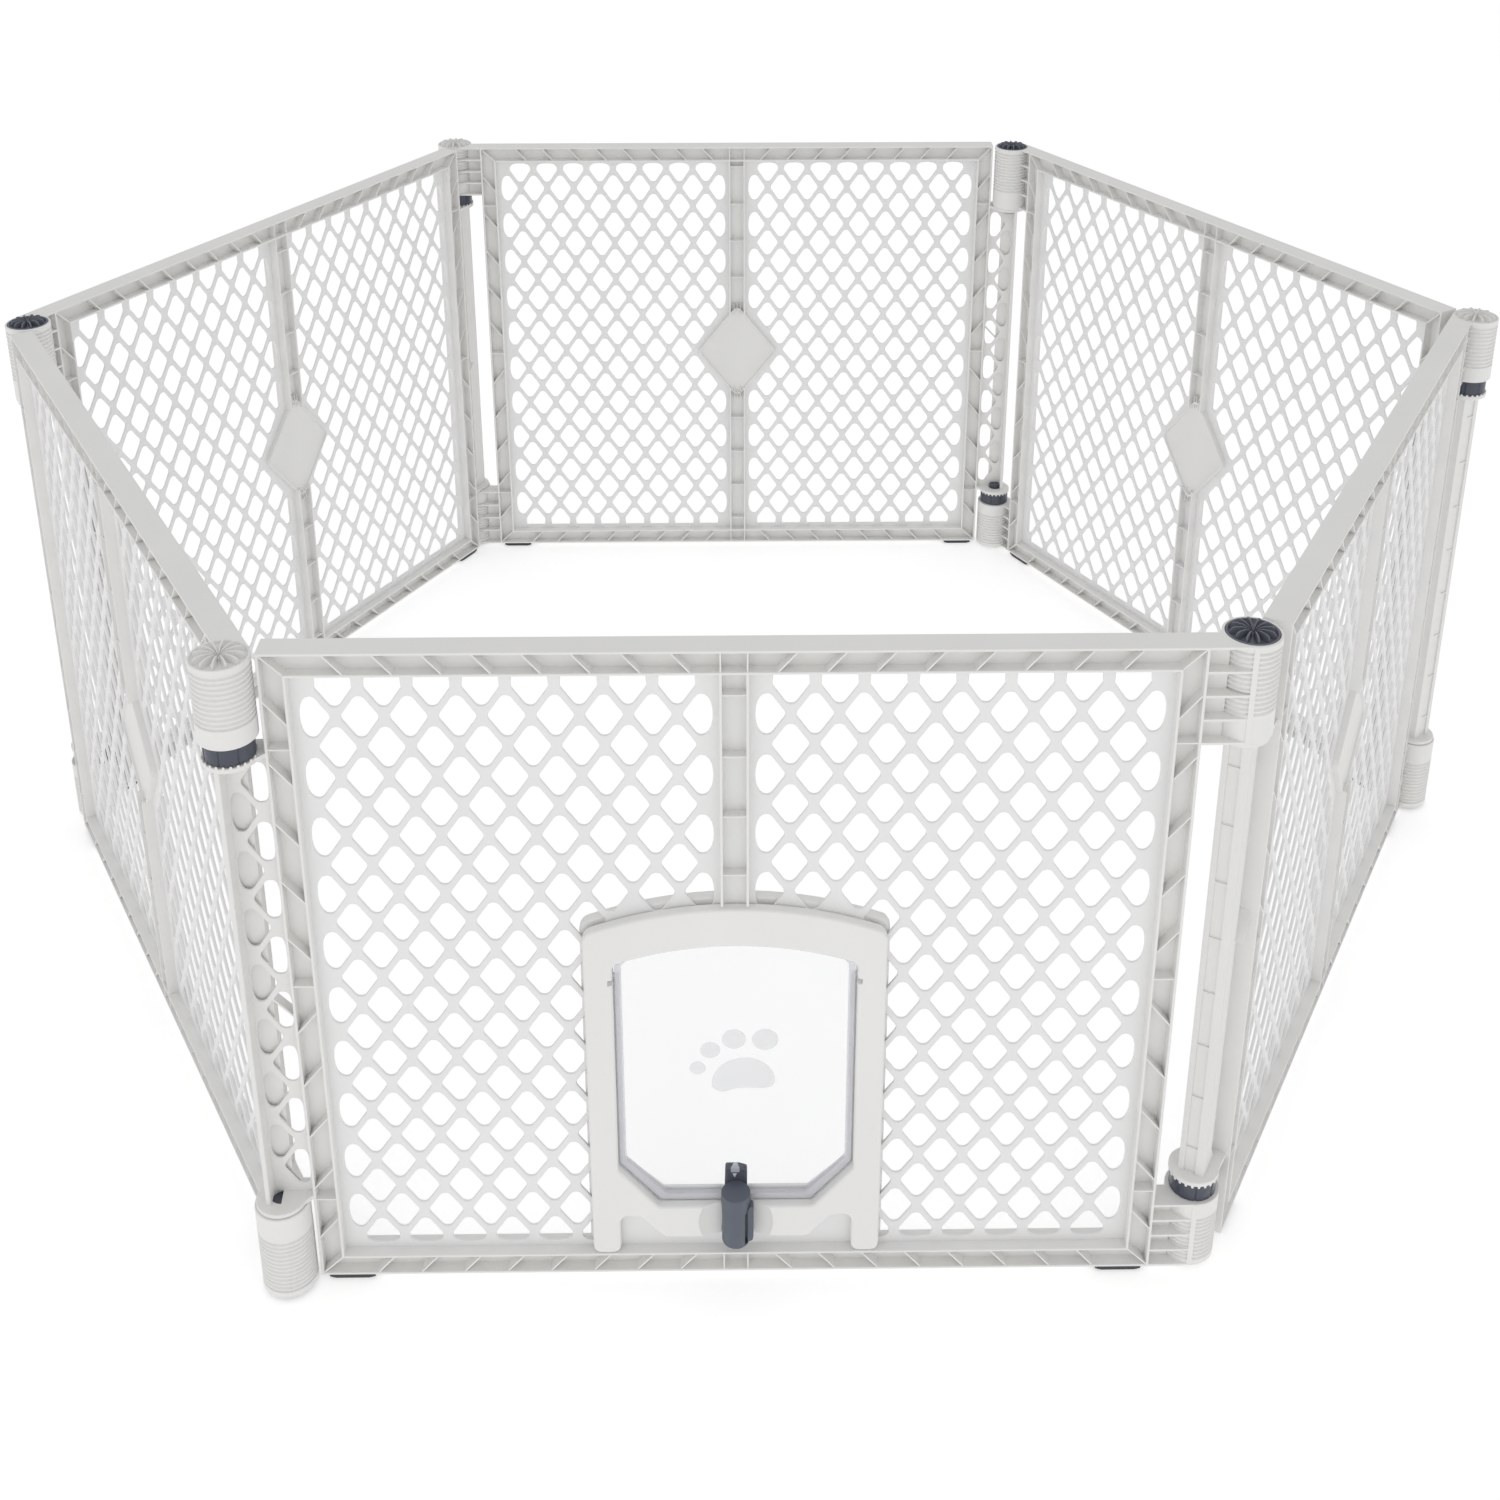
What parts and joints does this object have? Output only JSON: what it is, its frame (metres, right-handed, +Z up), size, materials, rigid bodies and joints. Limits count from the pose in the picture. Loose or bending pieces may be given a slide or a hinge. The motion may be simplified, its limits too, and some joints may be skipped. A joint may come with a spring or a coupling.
{
  "type": "pet playpen",
  "caption": "Hexagonal folding pet playpen of moulded lattice panels on alternating hinge posts, with a clear flap door and a turn latch in one panel.",
  "frame": {"origin": "middle of the footprint, on the floor under the rubber feet", "axes": "+Z up; -Y out through the front panel with the pet door; +X to the right of someone facing that door from outside"},
  "size_m": [1.716, 1.5188, 0.6669],
  "materials": {
    "front_frame": "fine satin, off-white",
    "front_lattice": "fine satin, off-white",
    "front_hinge_cap": "semi-gloss, dark slate",
    "front_lock_ring": "semi-gloss, dark slate",
    "front_foot_near": "matt, near black",
    "front_foot_far": "matt, near black",
    "door_outer_frame": "fine satin, off-white",
    "door_inner_frame": "fine satin, off-white",
    "latch_stop": "semi-gloss, dark slate",
    "right_front_frame": "fine satin, off-white",
    "right_front_lattice": "fine satin, off-white",
    "right_front_badge_plate": "fine satin, off-white",
    "right_front_hinge_cap": "semi-gloss, dark slate",
    "right_front_lock_ring": "semi-gloss, dark slate",
    "right_front_foot_near": "matt, near black",
    "right_front_foot_far": "matt, near black",
    "right_back_frame": "fine satin, off-white",
    "right_back_lattice": "fine satin, off-white",
    "right_back_badge_plate": "fine satin, off-white",
    "right_back_hinge_cap": "semi-gloss, dark slate",
    "right_back_lock_ring": "semi-gloss, dark slate",
    "right_back_foot_near": "matt, near black",
    "right_back_foot_far": "matt, near black",
    "back_frame": "fine satin, off-white",
    "back_lattice": "fine satin, off-white",
    "back_badge_plate": "fine satin, off-white",
    "back_hinge_cap": "semi-gloss, dark slate",
    "back_lock_ring": "semi-gloss, dark slate",
    "back_foot_near": "matt, near black",
    "back_foot_far": "matt, near black",
    "left_back_frame": "fine satin, off-white",
    "left_back_lattice": "fine satin, off-white",
    "left_back_badge_plate": "fine satin, off-white",
    "left_back_hinge_cap": "semi-gloss, dark slate",
    "left_back_lock_ring": "semi-gloss, dark slate",
    "left_back_foot_near": "matt, near black",
    "left_back_foot_far": "matt, near black",
    "left_front_frame": "fine satin, off-white",
    "left_front_lattice": "fine satin, off-white",
    "left_front_badge_plate": "fine satin, off-white",
    "left_front_hinge_cap": "semi-gloss, dark slate",
    "left_front_lock_ring": "semi-gloss, dark slate",
    "left_front_foot_near": "matt, near black",
    "left_front_foot_far": "matt, near black",
    "door_flap": "clear, slightly frosted",
    "latch_dial": "semi-gloss, dark slate"
  },
  "bodies": {
    "front_panel": {"front_frame": "front_frame", "front_lattice": "front_lattice", "front_hinge_cap": "front_hinge_cap", "front_lock_ring": "front_lock_ring", "front_foot_near": "front_foot_near", "front_foot_far": "front_foot_far", "door_outer_frame": "door_outer_frame", "door_inner_frame": "door_inner_frame", "latch_stop": "latch_stop"},
    "right_front_panel": {"right_front_frame": "right_front_frame", "right_front_lattice": "right_front_lattice", "right_front_badge_plate": "right_front_badge_plate", "right_front_hinge_cap": "right_front_hinge_cap", "right_front_lock_ring": "right_front_lock_ring", "right_front_foot_near": "right_front_foot_near", "right_front_foot_far": "right_front_foot_far"},
    "right_back_panel": {"right_back_frame": "right_back_frame", "right_back_lattice": "right_back_lattice", "right_back_badge_plate": "right_back_badge_plate", "right_back_hinge_cap": "right_back_hinge_cap", "right_back_lock_ring": "right_back_lock_ring", "right_back_foot_near": "right_back_foot_near", "right_back_foot_far": "right_back_foot_far"},
    "back_panel": {"back_frame": "back_frame", "back_lattice": "back_lattice", "back_badge_plate": "back_badge_plate", "back_hinge_cap": "back_hinge_cap", "back_lock_ring": "back_lock_ring", "back_foot_near": "back_foot_near", "back_foot_far": "back_foot_far"},
    "left_back_panel": {"left_back_frame": "left_back_frame", "left_back_lattice": "left_back_lattice", "left_back_badge_plate": "left_back_badge_plate", "left_back_hinge_cap": "left_back_hinge_cap", "left_back_lock_ring": "left_back_lock_ring", "left_back_foot_near": "left_back_foot_near", "left_back_foot_far": "left_back_foot_far"},
    "left_front_panel": {"left_front_frame": "left_front_frame", "left_front_lattice": "left_front_lattice", "left_front_badge_plate": "left_front_badge_plate", "left_front_hinge_cap": "left_front_hinge_cap", "left_front_lock_ring": "left_front_lock_ring", "left_front_foot_near": "left_front_foot_near", "left_front_foot_far": "left_front_foot_far"},
    "door_flap": {"door_flap": "door_flap"},
    "latch_dial": {"latch_dial": "latch_dial"}
  },
  "joints": [
    {"name": "front_right_hinge", "type": "hinge", "parent": "front_panel", "child": "right_front_panel", "pos_m": [0.39398, -0.7084, 0.335], "axis": [0, 0, 1], "range_deg": [0, 116]},
    {"name": "right_hinge", "type": "hinge", "parent": "right_front_panel", "child": "right_back_panel", "pos_m": [0.833, 0, 0.335], "axis": [0, 0, 1], "range_deg": [-236.5, 0]},
    {"name": "back_right_hinge", "type": "hinge", "parent": "right_back_panel", "child": "back_panel", "pos_m": [0.39398, 0.7084, 0.335], "axis": [0, 0, 1], "range_deg": [0, 116]},
    {"name": "back_left_hinge", "type": "hinge", "parent": "back_panel", "child": "left_back_panel", "pos_m": [-0.43902, 0.7344, 0.335], "axis": [0, 0, 1], "range_deg": [-236.5, 0]},
    {"name": "left_hinge", "type": "hinge", "parent": "left_back_panel", "child": "left_front_panel", "pos_m": [-0.833, 0, 0.335], "axis": [0, 0, 1], "range_deg": [0, 116]},
    {"name": "flap_hinge", "type": "hinge", "parent": "front_panel", "child": "door_flap", "pos_m": [-0.02852, -0.7214, 0.336], "axis": [-1, 0, 0], "range_deg": [0, 85]},
    {"name": "latch_turn", "type": "hinge", "parent": "front_panel", "child": "latch_dial", "pos_m": [-0.02852, -0.7319, 0.07], "axis": [0, 0, -1], "range_deg": [0, 90]}
  ],
  "couplings": [
    {"joint": "right_hinge", "follows": "front_right_hinge", "ratio": -2.0345},
    {"joint": "back_right_hinge", "follows": "front_right_hinge", "ratio": 1},
    {"joint": "back_left_hinge", "follows": "front_right_hinge", "ratio": -2.0345},
    {"joint": "left_hinge", "follows": "front_right_hinge", "ratio": 1}
  ]
}
